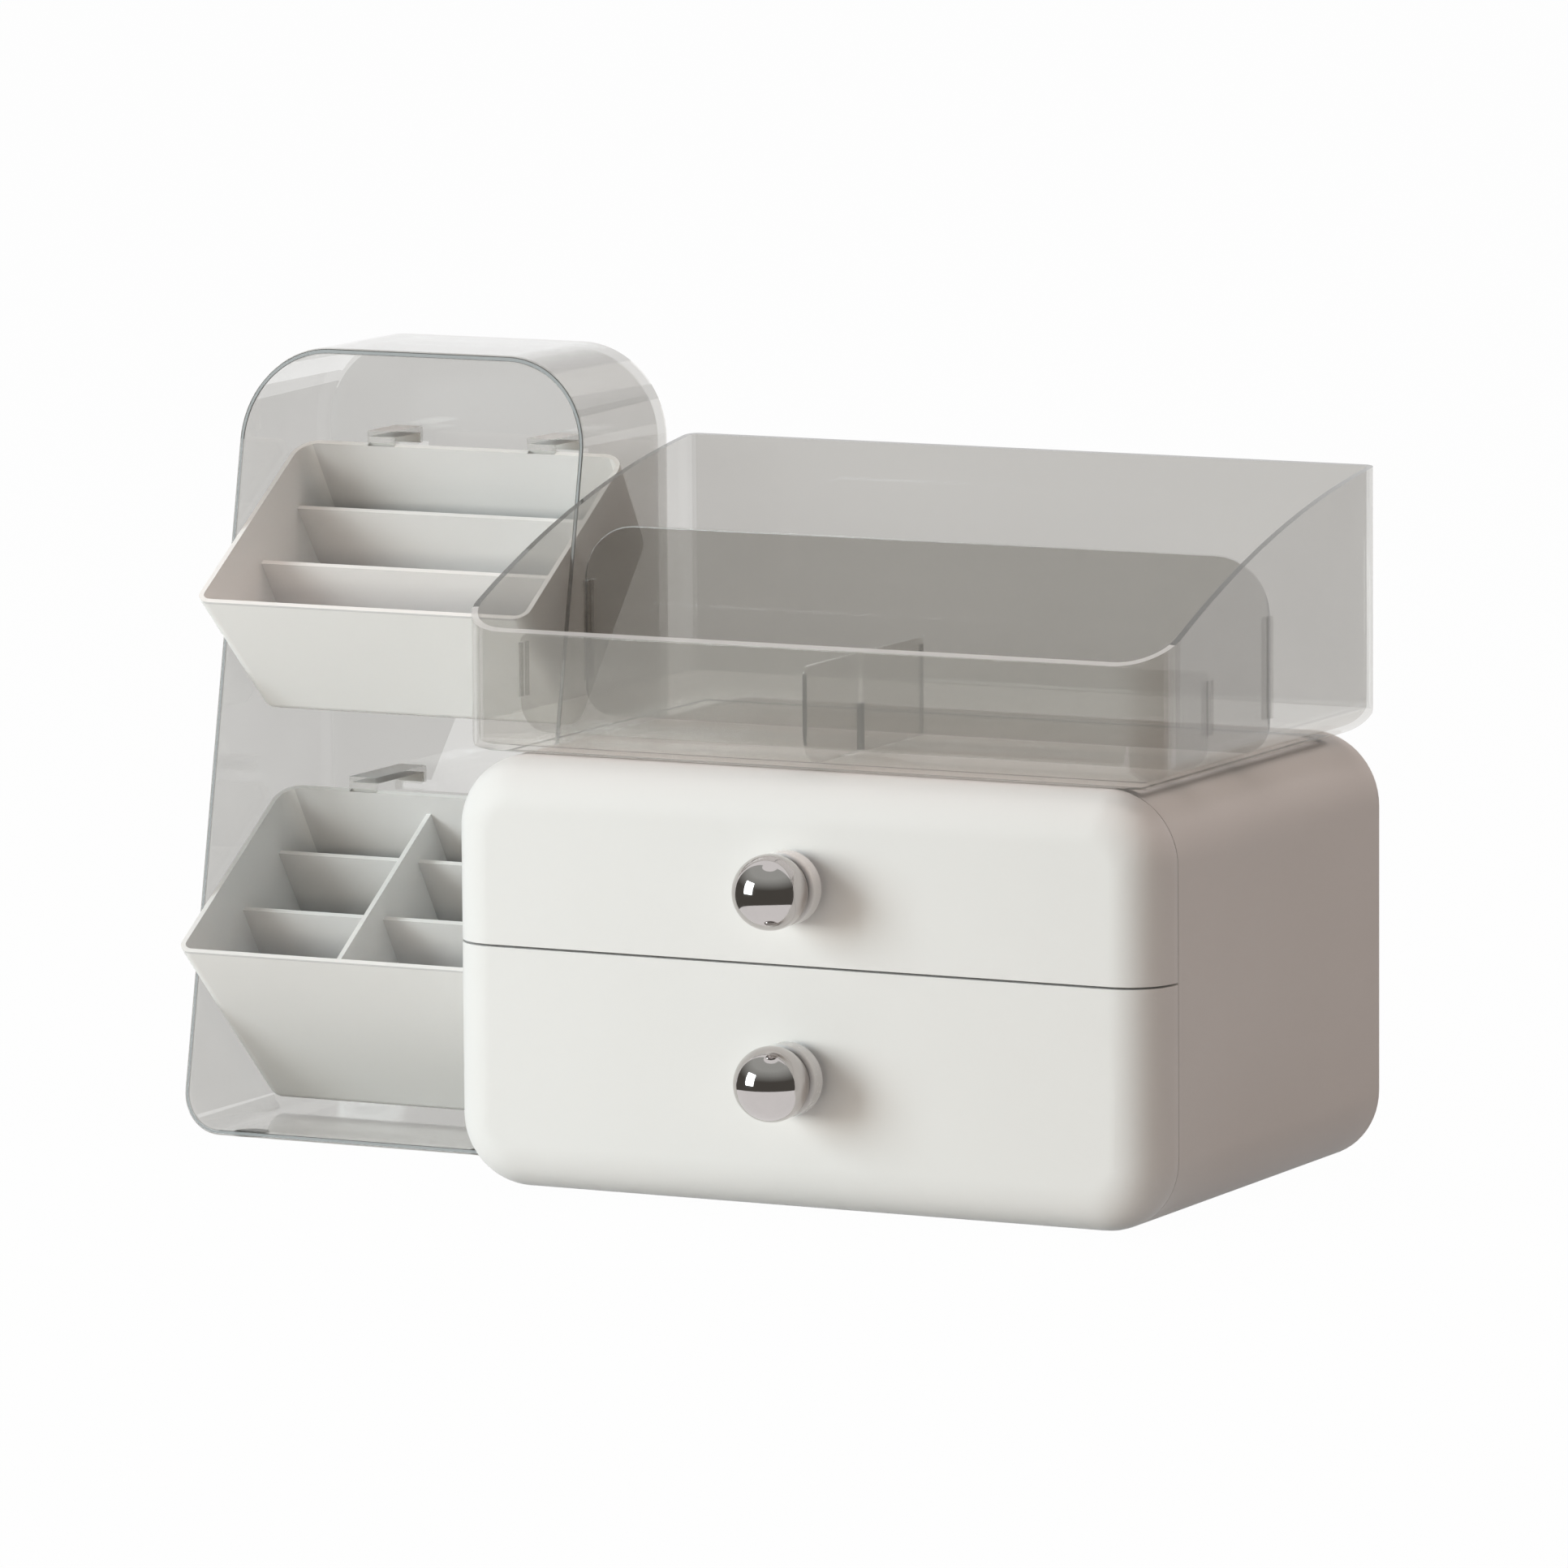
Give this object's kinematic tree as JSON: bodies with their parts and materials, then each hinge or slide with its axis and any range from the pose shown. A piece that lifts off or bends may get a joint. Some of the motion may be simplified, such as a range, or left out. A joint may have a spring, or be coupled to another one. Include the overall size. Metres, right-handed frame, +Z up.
{
  "type": "makeup organizer",
  "caption": "Desktop makeup organizer: rounded drawer chest with ball knobs, open clear tray with dividers on top, and a clear side rack with tilted compartment trays.",
  "frame": {"origin": "on the table, under the middle of the whole set's bounding box", "axes": "+X right along the front of the chest, +Y back, +Z up; the drawer fronts face -Y"},
  "size_m": [0.457, 0.2395, 0.3082],
  "materials": {
    "chest_white": "satin moulded plastic",
    "front_white": "satin moulded plastic",
    "box_white": "matt moulded plastic",
    "panel_grey": "matt",
    "collar_white": "gloss",
    "chrome": "polished",
    "screw_steel": "zinc plated",
    "foot_rubber": "matt",
    "smoke_clear": "clear smoky, polished",
    "cup_white": "satin moulded plastic"
  },
  "bodies": {
    "chest": {"chest_shell": "chest_white", "back_panel": "panel_grey", "drawer_shelf": "chest_white", "chest_feet": "foot_rubber"},
    "upper_drawer": {"upper_drawer_front": "front_white", "upper_drawer_box": "box_white", "upper_knob_collar": "collar_white", "upper_knob_ball": "chrome", "upper_knob_screw": "screw_steel"},
    "lower_drawer": {"lower_drawer_front": "front_white", "lower_drawer_box": "box_white", "lower_knob_collar": "collar_white", "lower_knob_ball": "chrome", "lower_knob_screw": "screw_steel"},
    "tray": {"top_tray": "smoke_clear"},
    "partition": {"tray_partition": "smoke_clear"},
    "low_dividers": {"tray_cross_divider": "smoke_clear", "tray_centre_divider": "smoke_clear"},
    "rack": {"rack_shell": "smoke_clear", "rack_feet": "foot_rubber"},
    "upper_cup_tray": {"upper_rack_tray": "cup_white"},
    "lower_cup_tray": {"lower_rack_tray": "cup_white"}
  },
  "joints": [
    {"name": "upper_drawer_slide", "type": "slide", "parent": "chest", "child": "upper_drawer", "axis": [0, -1, 0], "range_m": [0, 0.155]},
    {"name": "lower_drawer_slide", "type": "slide", "parent": "chest", "child": "lower_drawer", "axis": [0, -1, 0], "range_m": [0, 0.155]},
    {"name": "tray_lift", "type": "slide", "parent": "chest", "child": "tray", "axis": [0, 0, 1], "range_m": [0, 0.12]},
    {"name": "partition_lift", "type": "slide", "parent": "tray", "child": "partition", "axis": [0, 0, 1], "range_m": [0, 0.09]},
    {"name": "dividers_lift", "type": "slide", "parent": "tray", "child": "low_dividers", "axis": [0, 0, 1], "range_m": [0, 0.06]},
    {"name": "rack_move", "type": "slide", "parent": "chest", "child": "rack", "axis": [-1, 0, 0], "range_m": [0, 0.1]},
    {"name": "upper_rack_tray_lift", "type": "slide", "parent": "rack", "child": "upper_cup_tray", "axis": [0, 0, 1], "range_m": [0, 0.008]},
    {"name": "lower_rack_tray_lift", "type": "slide", "parent": "rack", "child": "lower_cup_tray", "axis": [0, 0, 1], "range_m": [0, 0.008]}
  ]
}
